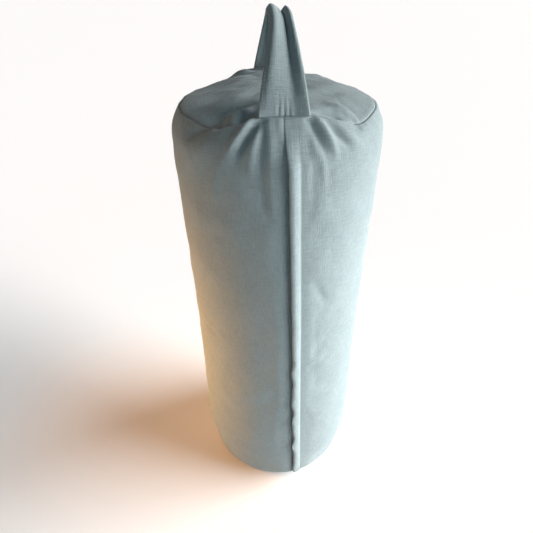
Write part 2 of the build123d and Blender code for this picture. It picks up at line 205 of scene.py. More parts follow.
# ---- Materials ----
class Nodes:
    """A short way to write a material's node tree."""

    def __init__(self, name):
        self.material = bpy.data.materials.new(name)
        self.material.use_nodes = True
        self.tree = self.material.node_tree
        self.shader = self.tree.nodes["Principled BSDF"]

    def add(self, kind, **settings):
        node = self.tree.nodes.new(kind)
        for key, value in settings.items():
            setattr(node, key, value)
        return node

    def link(self, source, target):
        self.tree.links.new(source, target)

    def set(self, socket, value):
        if isinstance(value, bpy.types.NodeSocket):
            self.link(value, socket)
        else:
            socket.default_value = value

    def math(self, operation, a, b=0.0, clamp=False):
        node = self.add("ShaderNodeMath", operation=operation, use_clamp=clamp)
        self.set(node.inputs[0], a)
        self.set(node.inputs[1], b)
        return node.outputs[0]

    def plus(self, a, b, clamp=False):
        return self.math("ADD", a, b, clamp)

    def times(self, a, b):
        return self.math("MULTIPLY", a, b)

    def mix(self, share, a, b):
        node = self.add("ShaderNodeMix", data_type="RGBA")
        self.set(node.inputs["Factor"], share)
        self.set(node.inputs[6], a if isinstance(a, bpy.types.NodeSocket) else (*a, 1))
        self.set(node.inputs[7], b if isinstance(b, bpy.types.NodeSocket) else (*b, 1))
        return node.outputs[2]

    def noise(self, vector, scale, detail=3.0):
        node = self.add("ShaderNodeTexNoise")
        self.link(vector, node.inputs["Vector"])
        node.inputs["Scale"].default_value = scale
        node.inputs["Detail"].default_value = detail
        return node.outputs["Fac"]

    def stretched(self, vector, scale):
        node = self.add("ShaderNodeMapping")
        self.link(vector, node.inputs["Vector"])
        node.inputs["Scale"].default_value = scale
        return node.outputs["Vector"]

    def bump(self, height, distance):
        node = self.add("ShaderNodeBump")
        self.link(height, node.inputs["Height"])
        node.inputs["Distance"].default_value = distance
        node.inputs["Strength"].default_value = 1.0
        self.link(node.outputs["Normal"], self.shader.inputs["Normal"])

    def object_place(self):
        return self.add("ShaderNodeTexCoord").outputs["Object"]

    def colour(self, value):
        self.link(value, self.shader.inputs["Base Color"])

    def surface(self, **values):
        """Plain values for the shader. An underscore stands for a space in a socket's name."""
        for key, value in values.items():
            self.shader.inputs[key.replace("_", " ")].default_value = value
        return self.material


def thread_phase(n, across, pitch):
    """How far a place is across the threads, as half a turn for each thread."""
    return n.times(across, pi / pitch)


def thread_wave(n, along, phase):
    """A rounded thread profile across one direction, from 0 between threads to 1 on top of one."""
    return n.math("ABSOLUTE", n.math("SINE", n.plus(phase, along)))


def uppermost(n, warp, weft, over):
    """The warp's value where it lies over the weft, and the weft's where it doesn't."""
    under = n.math("SUBTRACT", 1.0, over)
    return n.plus(n.times(warp, over), n.times(weft, under))


def slub_contrast(n, flat, pitch, over):
    """Long uneven patches along each thread, from 0 to 1."""
    wide, long = 1 / (1.7 * pitch), 1 / (14 * pitch)
    warp = n.noise(n.stretched(flat, (wide, long, 1)), 1.0, 2.0)
    weft = n.noise(n.stretched(flat, (long, wide, 1)), 1.0, 2.0)
    contrast = n.add("ShaderNodeMapRange")
    n.link(uppermost(n, warp, weft, over), contrast.inputs["Value"])
    contrast.inputs["From Min"].default_value = 0.5 - SLUB_RANGE
    contrast.inputs["From Max"].default_value = 0.5 + SLUB_RANGE
    return contrast.outputs[0]


def woven(name, light, dark, pitch, slub, sheen, bump=0.00035):
    """A plain weave over the cloth's own coordinates, with uneven threads (slubs), a faint mottle, and
    painted shade between the threads.
    """
    n = Nodes(name)
    flat = n.add("ShaderNodeUVMap", uv_map="cloth").outputs["UV"]
    split = n.add("ShaderNodeSeparateXYZ")
    n.link(flat, split.inputs[0])
    wander = n.times(n.noise(n.stretched(flat, (60, 60, 1)), 1.0), 2.2)
    warp_phase = thread_phase(n, split.outputs["X"], pitch)
    weft_phase = thread_phase(n, split.outputs["Y"], pitch)
    over = n.times(n.math("SINE", warp_phase), n.math("SINE", weft_phase))
    over = n.plus(n.times(over, 0.5), 0.5, clamp=True)
    height = uppermost(n, thread_wave(n, wander, warp_phase), thread_wave(n, wander, weft_phase), over)
    contrast = slub_contrast(n, flat, pitch, over)
    mottle = n.noise(n.stretched(flat, (26, 18, 1)), 1.0, 4.0)
    share = n.plus(n.times(contrast, slub), n.times(mottle, 0.45))
    # painted shade: the colour lightens on the threads' tops and darkens in the gaps between them, following
    # the threads' height
    share = n.plus(share, n.times(height, 0.30), clamp=True)
    n.colour(n.mix(share, dark, light))
    n.bump(n.plus(n.times(height, 0.6), n.times(contrast, 0.4)), bump)
    return n.surface(Roughness=0.86, Sheen_Weight=sheen, Sheen_Roughness=0.45, Specular_IOR_Level=0.25)


def twisted_thread():
    n = Nodes("sewing_thread")
    place = n.object_place()
    twist = n.add("ShaderNodeTexWave", wave_type="BANDS", bands_direction="DIAGONAL")
    n.link(place, twist.inputs["Vector"])
    twist.inputs["Scale"].default_value = 900
    n.colour(n.mix(n.noise(place, 900), [c * 0.8 for c in THREAD_COLOUR], THREAD_COLOUR))
    n.bump(twist.outputs["Fac"], 0.0001)
    return n.surface(Roughness=0.6, Sheen_Weight=0.2)


def ribbed_tape():
    """The fine ribs of the zip's tapes, drawn over their place in space, as bumps and as painted shade in the
    grooves between them.
    """
    n = Nodes("zip_tape_weave")
    place = n.object_place()
    ribs = n.add("ShaderNodeTexWave", wave_type="BANDS", bands_direction="Z")
    n.link(place, ribs.inputs["Vector"])
    ribs.inputs["Scale"].default_value = 420
    ribs.inputs["Distortion"].default_value = 1.5
    uneven = n.times(n.noise(place, 500), 0.4)
    # painted shade in the grooves between the ribs, plus an uneven tone from noise
    tone = n.plus(n.times(ribs.outputs["Fac"], 0.6), uneven)
    n.colour(n.mix(tone, TAPE_DARK, TAPE_LIGHT))
    n.bump(tone, 0.0002)
    return n.surface(Roughness=0.85, Sheen_Weight=0.2)


def moulded_nylon():
    n = Nodes("moulded_nylon")
    place = n.object_place()
    n.colour(n.mix(n.noise(place, 300), [c * 0.85 for c in NYLON], NYLON))
    rough = n.plus(n.times(n.noise(place, 700), 0.2), 0.28)
    n.link(rough, n.shader.inputs["Roughness"])
    return n.surface(Coat_Weight=0.15)


def painted_zinc():
    n = Nodes("painted_zinc")
    place = n.object_place()
    wear = n.math("GREATER_THAN", n.noise(place, 420, 6), 0.72)
    n.colour(n.mix(wear, METAL, BARE_METAL))
    rough = n.plus(n.times(n.noise(place, 900), 0.25), 0.22)
    n.link(rough, n.shader.inputs["Roughness"])
    n.bump(n.noise(place, 1500), 0.00004)
    return n.surface(Metallic=0.35, Coat_Weight=0.4)


# ---- The skin ----
def meridian():
    """The outline from the middle of the top to that of the bottom, as evenly spaced (radius, height)."""
    crown_r = (RIM_R**2 + CROWN**2) / (2 * CROWN)
    crown_z = RIM_TOP + CROWN - crown_r
    inset = BODY_R - SHOULDER_R
    turn = acos((RIM_R - inset) / SHOULDER_R)
    rise = SHOULDER_R * sin(turn)
    straight = RIM_TOP - RIM_LOW - 2 * rise
    foot_turn_r = ((RIM_R - FOOT_R) ** 2 + RIM_LOW**2) / (2 * RIM_LOW)
    foot_angle = acos((foot_turn_r - RIM_LOW) / foot_turn_r)
    foot = (FOOT_R, foot_turn_r)
    stretches = [
        (RIM_R, lambda t: (RIM_R * t, crown_z + (crown_r**2 - (RIM_R * t) ** 2) ** 0.5)),
        (SHOULDER_R * turn, lambda t: around((inset, RIM_TOP - rise), SHOULDER_R, turn * (1 - t))),
        (straight, lambda t: (BODY_R, RIM_TOP - rise - t * straight)),
        (SHOULDER_R * turn, lambda t: around((inset, RIM_LOW + rise), SHOULDER_R, -turn * t)),
        (foot_turn_r * foot_angle, lambda t: around(foot, foot_turn_r, foot_angle * (1 - t) - pi / 2)),
        (FOOT_R, lambda t: (FOOT_R * (1 - t), 0.0)),
    ]
    rows, rims = [], []
    for length, shape in stretches:
        count = round(length / ROW_STEP)
        rims.append(len(rows))
        rows += [shape(i / count) for i in range(count)]
    rows.append((0.0, 0.0))
    return np.array(rows), rims[1], rims[4]


def around(centre, radius, angle):
    """A point of a circle, in (radius, height)."""
    return centre[0] + radius * cos(angle), centre[1] + radius * sin(angle)


def bell(x, width):
    """A smooth bump, 1 in the middle."""
    return np.exp(-((x / width) ** 2))


def smooth(x):
    """An eased step, from 0 at 0 to 1 at 1."""
    x = np.clip(x, 0, 1)
    return x * x * (3 - 2 * x)


def off_axis(angle, other):
    """How far an angle is from another, from -pi to pi."""
    return (angle - other + pi) % tau - pi


ROWS, RIM_TOP_ROW, RIM_LOW_ROW = meridian()
DISTANCE = np.concatenate([[0], np.cumsum(np.hypot(*np.diff(ROWS, axis=0).T))])
RIM_TOP_S, RIM_LOW_S = DISTANCE[RIM_TOP_ROW], DISTANCE[RIM_LOW_ROW]
ANGLES = np.arange(COLUMNS) * tau / COLUMNS


def revolved(radius, height):
    """Grids of points from a radius and a height for each row and column."""
    angle = np.broadcast_to(ANGLES, radius.shape)
    return np.stack([radius * np.sin(angle), -radius * np.cos(angle), height], -1)


def waves(x, y, seed, scale, count=14):
    """A smooth uneven field from -1 to 1, as a sum of waves whose directions come from a seed."""
    draw = np.random.default_rng(seed)
    total = np.zeros(np.broadcast(x, y).shape)
    for _ in range(count):
        heading, phase = draw.uniform(0, tau, 2)
        length = scale * draw.uniform(0.6, 1.8)
        total = total + np.sin((x * cos(heading) + y * sin(heading)) * tau / length + phase)
    return total / count**0.5 / 1.6


def foot_tuck(radius, height):
    """How far the cloth draws in towards the foot, where the cushion's end is rounder than its casing."""
    return FOOT_TUCK * smooth((FOOT_TUCK_TOP - height) / FOOT_TUCK_DEPTH) * np.minimum(1, radius / RIM_R)


def strap_pull(other):
    """The share of the strap's pull at each column, from one foot of the strap."""
    turn = np.degrees(off_axis(ANGLES, other))
    left = np.interp(-turn, *np.array(PULL_LEFT).T)
    right = np.interp(turn, *np.array(PULL_RIGHT).T)
    share = np.where(turn < 0, left, right)
    return np.convolve(np.pad(share, 2, "wrap"), [0.08, 0.24, 0.36, 0.24, 0.08], "valid")


def start_shape():
    """The skin before the cloth moves: the model's outline, with the rim lifted at the strap's feet."""
    radius = np.repeat(ROWS[:, :1], COLUMNS, 1)
    height = np.repeat(ROWS[:, 1:], COLUMNS, 1)
    below = DISTANCE[:, None] - RIM_TOP_S
    tube = smooth(below / 0.02) * smooth((RIM_LOW_S - DISTANCE[:, None]) / 0.06)
    rise = height / RIM_TOP
    swell = 0.0014 * bell(rise - 0.9, 0.16) - 0.0012 * bell(rise - 0.52, 0.22)
    swell = swell + 0.0008 * bell(rise - 0.2, 0.12)
    radius = radius + tube * swell
    radius = radius - foot_tuck(radius, height)
    for other in (0.0, pi):
        reach = np.where(below < 0, LIFT_REACH * 0.7, LIFT_REACH)
        pull = strap_pull(other)[None, :] * np.exp(-np.abs(below) / reach)
        height = height + LIFT_UP * pull
        radius = radius - LIFT_IN * pull * np.minimum(1, radius / RIM_R)
    points = revolved(radius, height)
    uneven = 0.0007 * waves(ANGLES[None, :] * BODY_R, DISTANCE[:, None], 5, 0.05)
    middle = smooth(radius / 0.03) * smooth((height - 0.004) / 0.02)
    return points * (1 + (uneven * middle / BODY_R)[..., None] * [1, 1, 0])


def pattern_shape():
    """The shape that the cloth was cut to: a tube that is wider than the rim seams it is gathered into."""
    below, above = DISTANCE - RIM_TOP_S, RIM_LOW_S - DISTANCE
    full = BODY_R + 0.0005
    inside = (below > 0) & (above > 0)
    gathered = np.minimum(RIM_R + 0.001 + 0.75 * below, RIM_R + 0.001 - FOOT_TUCK + 0.60 * above)
    radius = np.where(inside, np.minimum(full, gathered), ROWS[:, 0] * 1.01)
    radius = np.where(above < 0, radius * (1 - FOOT_TUCK / RIM_R), radius)
    step = np.diff(DISTANCE)
    drop = np.sqrt(np.maximum(step**2 - np.diff(radius) ** 2, 0))
    height = RIM_TOP - np.concatenate([[0], np.cumsum(drop)])
    height = height + (ROWS[RIM_TOP_ROW, 1] - height[RIM_TOP_ROW])
    return revolved(np.repeat(radius[:, None], COLUMNS, 1), np.repeat(height[:, None], COLUMNS, 1))


def wrapped_faces(rows, columns, keep=None):
    """Quads of a grid that closes round on itself. keep says which quads stay."""
    i, j = np.meshgrid(np.arange(rows - 1), np.arange(columns), indexing="ij")
    k = (j + 1) % columns
    quads = np.stack([i * columns + k, i * columns + j, (i + 1) * columns + j, (i + 1) * columns + k], -1)
    return quads[keep] if keep is not None else quads.reshape(-1, 4)


def fan_faces(centre, first, columns):
    """Triangles from one point to a ring of points."""
    j = np.arange(columns)
    return np.stack([np.full(columns, centre), first + j, first + (j + 1) % columns], 1)


def skin_points(grid):
    """A grid as a flat list, in which the middles of the top and the bottom come once, at the end."""
    return np.concatenate([grid[1:-1].reshape(-1, 3), grid[0, :1], grid[-1, :1]])


def skin_faces(rings):
    """The faces of the whole skin, as skin_points lists it."""
    top = rings * COLUMNS
    top_fan = fan_faces(top, 0, COLUMNS)
    bottom_fan = fan_faces(top + 1, top - COLUMNS, COLUMNS)[:, [0, 2, 1]]
    return wrapped_faces(rings, COLUMNS).tolist() + top_fan.tolist() + bottom_fan.tolist()


def held_points(start):
    """The points that the cloth can't move: the strap's feet, the middle of the top, and the base."""
    rows = np.arange(1, len(ROWS) - 1)
    aside = np.minimum(np.abs(off_axis(ANGLES, 0)), np.abs(off_axis(ANGLES, pi))) * RIM_R
    near_rim = np.abs(rows - RIM_TOP_ROW) <= 1
    anchors = near_rim[:, None] & (aside < LIFT_HALF - 0.003)[None, :]
    base = (start[1:-1, :, 2] < 0.010) | (rows[:, None] < 3)
    held = np.concatenate([(anchors | base).ravel(), [True, True]])
    return np.flatnonzero(held).tolist()


def set_cloth(modifier, cut_key):
    """Light stiff linen, blown up from inside, which would lie still in the shape it was cut to."""
    settings = modifier.settings
    settings.quality = 5
    settings.mass = 0.3
    settings.tension_stiffness = settings.compression_stiffness = 15
    settings.shear_stiffness = 5
    settings.bending_stiffness = 0.6
    settings.air_damping = 2
    settings.use_pressure = True
    settings.uniform_pressure_force = PRESSURE
    settings.vertex_group_mass = "held"
    settings.rest_shape_key = cut_key
    settings.effector_weights.gravity = 0
    modifier.point_cache.frame_start = 1
    modifier.point_cache.frame_end = FRAMES


def simulate(start, pattern):
    """Lets the skin swell and buckle as cloth. No point moves further than MOST_MOVE."""
    rings = len(ROWS) - 2
    flat = skin_points(start)
    mesh = bpy.data.meshes.new("skin_cloth")
    mesh.from_pydata(flat.tolist(), [], skin_faces(rings))
    cloth = bpy.data.objects.new("skin_cloth", mesh)
    bpy.context.scene.collection.objects.link(cloth)
    cloth.shape_key_add(name="Basis")
    cut_key = cloth.shape_key_add(name="pattern")
    cut_key.data.foreach_set("co", skin_points(pattern).astype(np.float32).ravel())
    cut_key.value = 0.0
    cloth.vertex_groups.new(name="held").add(held_points(start), 1.0, "REPLACE")
    set_cloth(cloth.modifiers.new("cloth", "CLOTH"), cut_key)
    for number in range(1, FRAMES + 1):
        bpy.context.scene.frame_set(number)
    graph = bpy.context.evaluated_depsgraph_get()
    moved = np.array([v.co for v in cloth.evaluated_get(graph).data.vertices])
    bpy.context.scene.frame_set(1)
    bpy.data.objects.remove(cloth)
    step = moved - flat
    length = np.linalg.norm(step, axis=1, keepdims=True)
    moved = flat + step * np.minimum(1, MOST_MOVE / np.maximum(length, 1e-9))
    result = start.copy()
    result[1:-1] = moved[:-2].reshape(rings, COLUMNS, 3)
    return result


def cubic_weights(t):
    """The four weights of a curve through evenly spaced values, at a share t between the middle two."""
    return np.stack([
        -0.5 * t + t**2 - 0.5 * t**3,
        1 - 2.5 * t**2 + 1.5 * t**3,
        0.5 * t + 2 * t**2 - 1.5 * t**3,
        -0.5 * t**2 + 0.5 * t**3,
    ])


class Skin:
    """A grid of points that is read smoothly at any distance down the meridian and any angle."""

    def __init__(self, grid):
        self.grid = grid
        along = np.roll(grid, -1, 1) - np.roll(grid, 1, 1)
        down = np.gradient(grid, axis=0)
        outward = np.cross(down, along)
        outward[0], outward[-1] = (0, 0, 1), (0, 0, -1)
        self.outward = outward / np.maximum(np.linalg.norm(outward, axis=-1, keepdims=True), 1e-12)

    def read(self, grid, distance, angle):
        distance, angle = np.broadcast_arrays(distance, angle)
        row = np.interp(distance, DISTANCE, np.arange(len(DISTANCE)))
        column = (angle % tau) / tau * COLUMNS
        i, j = np.floor(row).astype(int), np.floor(column).astype(int)
        down, across = cubic_weights(row - i), cubic_weights(column - j)
        total = np.zeros(distance.shape + (3,))
        for a in range(4):
            rows = np.clip(i + a - 1, 0, len(DISTANCE) - 1)
            for b in range(4):
                total += (down[a] * across[b])[..., None] * grid[rows, (j + b - 1) % COLUMNS]
        return total

    def points(self, distance, angle):
        return self.read(self.grid, distance, angle)

    def normals(self, distance, angle):
        found = self.read(self.outward, distance, angle)
        return found / np.linalg.norm(found, axis=-1, keepdims=True)


# ---- The zip's line on the skin ----
ZIP_DIRECTION = Vector(joints["zip_slide"]["axis"]).normalized()
ZIP_AZ = atan2(-ZIP_DIRECTION.y, -ZIP_DIRECTION.x)
ZIP_OUT = Vector((sin(ZIP_AZ), -cos(ZIP_AZ), 0))
ZIP_ACROSS = ZIP_DIRECTION.cross(ZIP_OUT)
ZIP_MID_Z = (tape_low.z + tape_high.z) / 2
ZIP_ORIGIN = ZIP_OUT * BODY_R + Vector((0, 0, ZIP_MID_Z))


def zip_angle(height):
    """The zip's angle round the pillow at a height, which goes on in line past the zip's ends."""
    run = (height - ZIP_MID_Z) / ZIP_DIRECTION.z
    x = ZIP_ORIGIN.x + ZIP_DIRECTION.x * run
    y = ZIP_ORIGIN.y + ZIP_DIRECTION.y * run
    return np.arctan2(x, -y)


def height_at(distance):
    return np.interp(distance, DISTANCE, ROWS[:, 1])


def beside_zip(distance, aside):
    """The angle of a place this far aside of the zip's middle, in metres."""
    return zip_angle(height_at(distance)) + aside / BODY_R


def aside_of_zip(distance, angle):
    """How far aside of the zip's middle a place is, in metres."""
    return off_axis(angle, zip_angle(height_at(distance))) * BODY_R


def keep_to_zip(grid):
    """Brings the skin back to the model's own surface beside the zip, so that the slider runs clear."""
    radius, height = np.repeat(ROWS[:, :1], COLUMNS, 1), np.repeat(ROWS[:, 1:], COLUMNS, 1)
    exact = revolved(radius, height)
    aside = off_axis(ANGLES[None, :], zip_angle(height)) * BODY_R
    wider = 0.014 * smooth((0.10 - height) / 0.05)
    beside = smooth((0.030 + wider - np.abs(aside)) / (0.013 + wider))
    share = beside * smooth((tape_high.z + 0.018 - height) / 0.016) * smooth((height - 0.022) / 0.012)
    return grid + (exact - grid) * share[..., None]


# ---- Folds ----
# Each fold is a curve through three places (mm across the front, mm below the rim seam), with its half-width
# and height in mm. A negative height is a valley. Folds on the top end are in mm of plan, (x, y).
BODY_FOLDS = [
    ((-24, 1), (-41, 9), (-60, 34), 3.6, 4.2),
    ((-58, 30), (-68, 50), (-72, 78), 6.5, 1.8),
    ((-23, 3), (-35, 14), (-46, 40), 3.6, -4.4),
    ((-21, 8), (-29, 22), (-32, 52), 4.0, 2.2),
    ((-20, 4), (-21, 22), (-20, 56), 3.0, -1.4),
    ((-70, -1), (-88, 5), (-114, 24), 6.0, -4.6),
    ((-58, 8), (-80, 20), (-100, 46), 8.0, 1.6),
    ((23, 3), (31, 13), (40, 32), 3.6, -3.8),
    ((34, 3), (42, 14), (52, 34), 3.6, 3.0),
    ((44, 3), (53, 12), (68, 26), 3.8, -2.6),
    ((56, 5), (66, 13), (84, 28), 5.0, 1.6),
    ((27, 18), (35, 36), (38, 66), 3.6, 1.4),
    ((-14, 6), (-12, 26), (-8, 78), 4.0, 1.4),
    ((-17, 30), (-19, 60), (-14, 96), 5.0, -1.2),
    ((21, 10), (24, 40), (27, 86), 4.0, -1.2),
    ((-136, 258), (-100, 260), (-68, 270), 2.6, -2.0),
    ((-132, 250), (-98, 252), (-66, 262), 3.4, 1.5),
    ((-128, 242), (-104, 242), (-84, 246), 2.6, -1.6),
    ((-122, 290), (-90, 300), (-62, 318), 6.0, -0.7),
    ((-20, 330), (-52, 352), (-90, 356), 7.0, 0.8),
    ((34, 164), (46, 186), (58, 202), 4.5, -0.9),
    ((58, 238), (81, 246), (108, 244), 5.0, 1.0),
    ((54, 250), (78, 258), (104, 258), 5.0, -0.9),
    ((26, 288), (45, 281), (66, 270), 4.0, 0.9),
    ((26, 298), (48, 292), (72, 282), 4.0, -0.8),
    ((40, 330), (70, 342), (110, 340), 8.0, -0.7),
    ((36, 380), (64, 396), (96, 392), 6.0, 0.8),
    ((30, 470), (58, 488), (84, 490), 6.0, 0.9),
    ((-30, 480), (-62, 494), (-96, 488), 7.0, -0.9),
]
TOP_FOLDS = [
    ((-16, -64), (-40, -60), (-76, -77), 5.5, -3.8),
    ((-24, -80), (-38, -77), (-56, -82), 6.5, 4.8),
    ((-24, -96), (-33, -93), (-45, -87), 1.9, -3.6),
    ((-22, -40), (-48, -36), (-86, -46), 9.0, 2.4),
    ((-44, 6), (-62, 26), (-70, 50), 24.0, -3.4),
    ((22, -90), (42, -80), (64, -76), 4.6, -4.8),
    ((32, -64), (55, -61), (76, -72), 6.4, 3.6),
    ((24, -38), (48, -28), (66, -8), 8.0, -2.0),
    ((24, -18), (48, -6), (76, 4), 8.0, 1.4),
    ((-24, -14), (-52, -4), (-88, -12), 9.0, -1.2),
    ((-34, 10), (-60, 4), (-86, -14), 5.0, 1.1),
]
BACK_SCALE = 0.8


def fold_height(x, y, folds, start_share):
    """The sum of the folds at each place, in metres. They start from a share of their full height."""
    total = np.zeros(np.shape(x))
    t = np.linspace(0, 1, 25)
    for start, middle, end, width, tall in folds:
        a, b, c = (np.array(p) * 1e-3 for p in (start, middle, end))
        bend = 2 * b - (a + c) / 2
        route = np.outer((1 - t) ** 2, a) + np.outer(2 * t * (1 - t), bend) + np.outer(t**2, c)
        away = np.full(np.shape(x), np.inf)
        share = np.zeros(np.shape(x))
        for value, place in zip(t, route):
            here = np.hypot(x - place[0], y - place[1])
            share = np.where(here < away, value, share)
            away = np.minimum(away, here)
        fade = smooth(2.2 * (1 - share)) * (start_share + (1 - start_share) * smooth(2.4 * share))
        total += tall * 1e-3 * fade * bell(away, width * 1e-3)
    return total


def folds_at(distance, angle, back):
    """The folds that come from the strap's front foot, or the same folds turned round to its back foot."""
    below = distance - RIM_TOP_S
    turn = off_axis(angle, pi if back else 0.0)
    side = -1 if back else 1
    radius = np.interp(distance, DISTANCE, ROWS[:, 0])
    tube = fold_height(side * turn * BODY_R, below, BODY_FOLDS, 0.5)
    top = fold_height(radius * side * np.sin(turn), -radius * np.cos(turn), TOP_FOLDS, 0.0)
    return tube * smooth((below + 0.003) / 0.006) + top * smooth((0.003 - below) / 0.006)


def seam_relief(distance):
    """The dip along each rim seam, the swelling beside it, and the ridge of the seam's allowance."""
    total = np.zeros(distance.shape)
    for seam in (RIM_TOP_S, RIM_LOW_S):
        away = np.abs(distance - seam)
        total += -SEAM_DIP * bell(away, SEAM_DIP_HALF) + 0.0004 * bell(away - 0.0045, 0.003)
        inward = distance - seam if seam == RIM_TOP_S else seam - distance
        total += 0.0005 * bell(inward - 0.0018, 0.0010)
    return total


def relief(distance, angle):
    """How far the finished cloth stands out from the skin: folds, the dip at each seam, and crumples."""
    distance, angle = np.broadcast_arrays(distance, angle)
    total = folds_at(distance, angle, False) + BACK_SCALE * folds_at(distance, angle, True)
    total += seam_relief(distance)
    x = angle * BODY_R
    crumple = 0.00016 * waves(x, distance * 0.45, 11, 0.016) + 0.00030 * waves(x, distance, 12, 0.055)
    total += crumple * smooth(distance / 0.02)
    pucker = waves(x, distance * 0, 13, 0.011) * bell(np.abs(distance - RIM_TOP_S) - 0.004, 0.006)
    return total + 0.00035 * pucker


def quiet_by_zip(distance, angle):
    """From 0 beside the zip to 1 away from it, so that no fold reaches the slot."""
    height = height_at(distance)
    aside = np.abs(aside_of_zip(distance, angle))
    inside = smooth((tape_high.z + 0.010 - height) / 0.010) * smooth((height - 0.024) / 0.02)
    return 1 - inside * smooth((0.022 - aside) / 0.008)


def slit_lip(distance, angle):
    """The left side of the slit beside the flap: cloth that swells up to it and turns in over the zip."""
    aside = aside_of_zip(distance, angle)
    across = smooth((aside + 0.042) / 0.032) * smooth((-0.0042 - aside) / 0.0024)
    along = smooth((distance - RIM_TOP_S - 0.014) / 0.030) * smooth((RIM_LOW_S - 0.006 - distance) / 0.040)
    return LIP * across * along


def cloth_points(distance, angle, inset=0.0):
    """Points of the finished cloth, or of a layer this far inside it."""
    distance, angle = np.broadcast_arrays(distance, angle)
    out = relief(distance, angle) * quiet_by_zip(distance, angle) + slit_lip(distance, angle) - inset
    return skin.points(distance, angle) + skin.normals(distance, angle) * out[..., None]


# ---- Mesh building ----
ROD_RINGS = ROD_SIDES = 6


def add_piece(name, points, faces, uv, material):
    """A mesh object from points, faces and one cloth coordinate for each point."""
    mesh = bpy.data.meshes.new(name)
    mesh.from_pydata(np.asarray(points).tolist(), [], [list(map(int, face)) for face in faces])
    mesh.validate()
    layer = mesh.uv_layers.new(name="cloth")
    corner = np.zeros(len(mesh.loops), int)
    mesh.loops.foreach_get("vertex_index", corner)
    layer.data.foreach_set("uv", np.asarray(uv, np.float32)[corner].ravel())
    mesh.polygons.foreach_set("use_smooth", np.full(len(mesh.polygons), True))
    mesh.materials.append(material)
    piece = bpy.data.objects.new(name, mesh)
    bpy.context.scene.collection.objects.link(piece)
    return piece


def apply_modifiers(piece):
    graph = bpy.context.evaluated_depsgraph_get()
    final = piece.evaluated_get(graph)
    mesh = bpy.data.meshes.new_from_object(final, preserve_all_data_layers=True, depsgraph=graph)
    piece.modifiers.clear()
    piece.data = mesh


def thicken(piece, thickness):
    modifier = piece.modifiers.new("thick", "SOLIDIFY")
    modifier.thickness = thickness
    modifier.offset = -1
    apply_modifiers(piece)


def spaced(stops):
    """Values from stop to stop, where each stop is (value, spacing up to the next)."""
    values = []
    for (a, spacing), (b, _) in zip(stops, stops[1:]):
        count = max(1, round((b - a) / spacing))
        values += [a + (b - a) * i / count for i in range(count)]
    return np.array(values + [stops[-1][0]])


def slot_gap(down, across, left, right):
    """Which quads of a tube stay when the slot for the zip is cut out of it."""
    height = height_at((down[1:] + down[:-1]) / 2)
    middle = across + np.append(np.diff(across), 0.001) / 2
    rows = (height > tape_low.z + 0.001) & (height < tape_high.z - 0.001)
    columns = (middle > left) & (middle < right)
    return ~(rows[:, None] & columns[None, :])


def tube_piece(name, inset, thickness, material, fine, slotted=False):
    """The tube of one layer, from rim seam to rim seam, on columns that follow the zip's line."""
    left, right = ZIP_SLOT if slotted else (-0.003, 0.008)
    half = pi * BODY_R
    across = spaced([
        (-half, 0.0040 * fine), (-0.13, 0.0021 * fine), (-0.012, 0.0008 * fine), (left, 0.0015),
        (right, 0.001 * fine), (right + 0.004, 0.0021 * fine), (0.13, 0.0040 * fine), (half, 1),
    ])[:-1]
    down = spaced([
        (RIM_TOP_S, 0.0007 * fine), (RIM_TOP_S + 0.006, 0.0015 * fine), (RIM_TOP_S + 0.075, 0.0040 * fine),
        (RIM_LOW_S - 0.03, 0.0026 * fine), (RIM_LOW_S - 0.005, 0.0009 * fine), (RIM_LOW_S, 1),
    ])
    distance, aside = np.meshgrid(down, across, indexing="ij")
    points = cloth_points(distance, beside_zip(distance, aside), inset)
    keep = slot_gap(down, across, left, right) if slotted else None
    faces = wrapped_faces(len(down), len(across), keep)
    uv = np.stack([aside, distance], -1).reshape(-1, 2)
    piece = add_piece(name, points.reshape(-1, 3), faces, uv, material)
    thicken(piece, thickness)
    return piece


def end_piece(name, inset, thickness, material, fine, bottom):
    """The round end of one layer, from its middle out to the rim seam."""
    rim = RIM_TOP_S
    columns = round(300 / fine)
    angle = np.arange(columns) * tau / columns
    if bottom:
        reach = DISTANCE[-1] - RIM_LOW_S
        down = DISTANCE[-1] - spaced([
            (0.004, 0.006 * fine), (reach - 0.03, 0.002 * fine), (reach - 0.005, 0.0009 * fine), (reach, 1),
        ])
    else:
        down = spaced([(0.004, 0.004 * fine), (0.03, 0.0019 * fine), (rim - 0.006, 0.0008 * fine), (rim, 1)])
    distance, turn = np.meshgrid(down, angle, indexing="ij")
    points = cloth_points(distance, turn, inset)
    middle = points[0].mean(0)
    faces = wrapped_faces(len(down), columns)
    fan = fan_faces(len(down) * columns, 0, columns)
    if bottom:
        faces, fan = faces[:, ::-1], fan[:, ::-1]
    radius = np.where(bottom, DISTANCE[-1] - distance, distance)
    uv = np.stack([radius * np.sin(turn), radius * np.cos(turn)], -1).reshape(-1, 2)
    points = np.concatenate([points.reshape(-1, 3), middle[None]])
    uv = np.concatenate([uv, [[0, 0]]])
    piece = add_piece(name, points, faces.tolist() + fan.tolist(), uv, material)
    thicken(piece, thickness)
    return piece


def loft_faces(rings, sides):
    """The faces of a solid with closed ends, through rings of points."""
    i, j = np.meshgrid(np.arange(rings - 1) * sides, np.arange(sides), indexing="ij")
    k = (j + 1) % sides
    faces = np.stack([i + j, i + k, i + sides + k, i + sides + j], -1).reshape(-1, 4).tolist()
    faces.append(list(range(sides))[::-1])
    faces.append([(rings - 1) * sides + n for n in range(sides)])
    return faces


def lofted(name, sections, uv, material):
    """A solid through closed sections, given as (sections, points round, 3)."""
    faces = loft_faces(*sections.shape[:2])
    return add_piece(name, sections.reshape(-1, 3), faces, uv.reshape(-1, 2), material)


def run_along(points):
    """The distance from the first point to each point, along the line through them."""
    return np.concatenate([[0], np.cumsum(np.linalg.norm(np.diff(points, axis=0), axis=1))])


def read_at(spots, run, values):
    """Values along a line, read at these distances along it."""
    return np.stack([np.interp(spots, run, values[:, a]) for a in range(values.shape[1])], 1)


def unit(vectors):
    return vectors / np.linalg.norm(vectors, axis=-1, keepdims=True)


